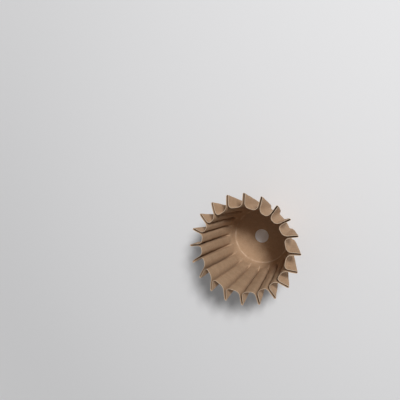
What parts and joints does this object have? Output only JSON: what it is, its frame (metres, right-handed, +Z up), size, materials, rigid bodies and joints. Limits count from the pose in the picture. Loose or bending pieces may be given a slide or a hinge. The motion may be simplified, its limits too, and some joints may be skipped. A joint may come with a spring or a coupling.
{
  "type": "paper coffee filter",
  "caption": "Flat-bottomed paper coffee filter folded from one round blank, with a deeply fluted, flaring wall, a scalloped rim and a round stem hole in the base",
  "frame": {"origin": "middle of the underside of the flat base, on the axis of the filter", "axes": "+Z up along the filter's axis, from the base to the open rim; +X through the middle of one flute's lobe"},
  "size_m": [0.0882, 0.0882, 0.0673],
  "materials": {
    "kraft_paper": "unbleached, matt, lightly pressed"
  },
  "bodies": {
    "root": {"filter_paper": "kraft_paper"}
  },
  "joints": []
}
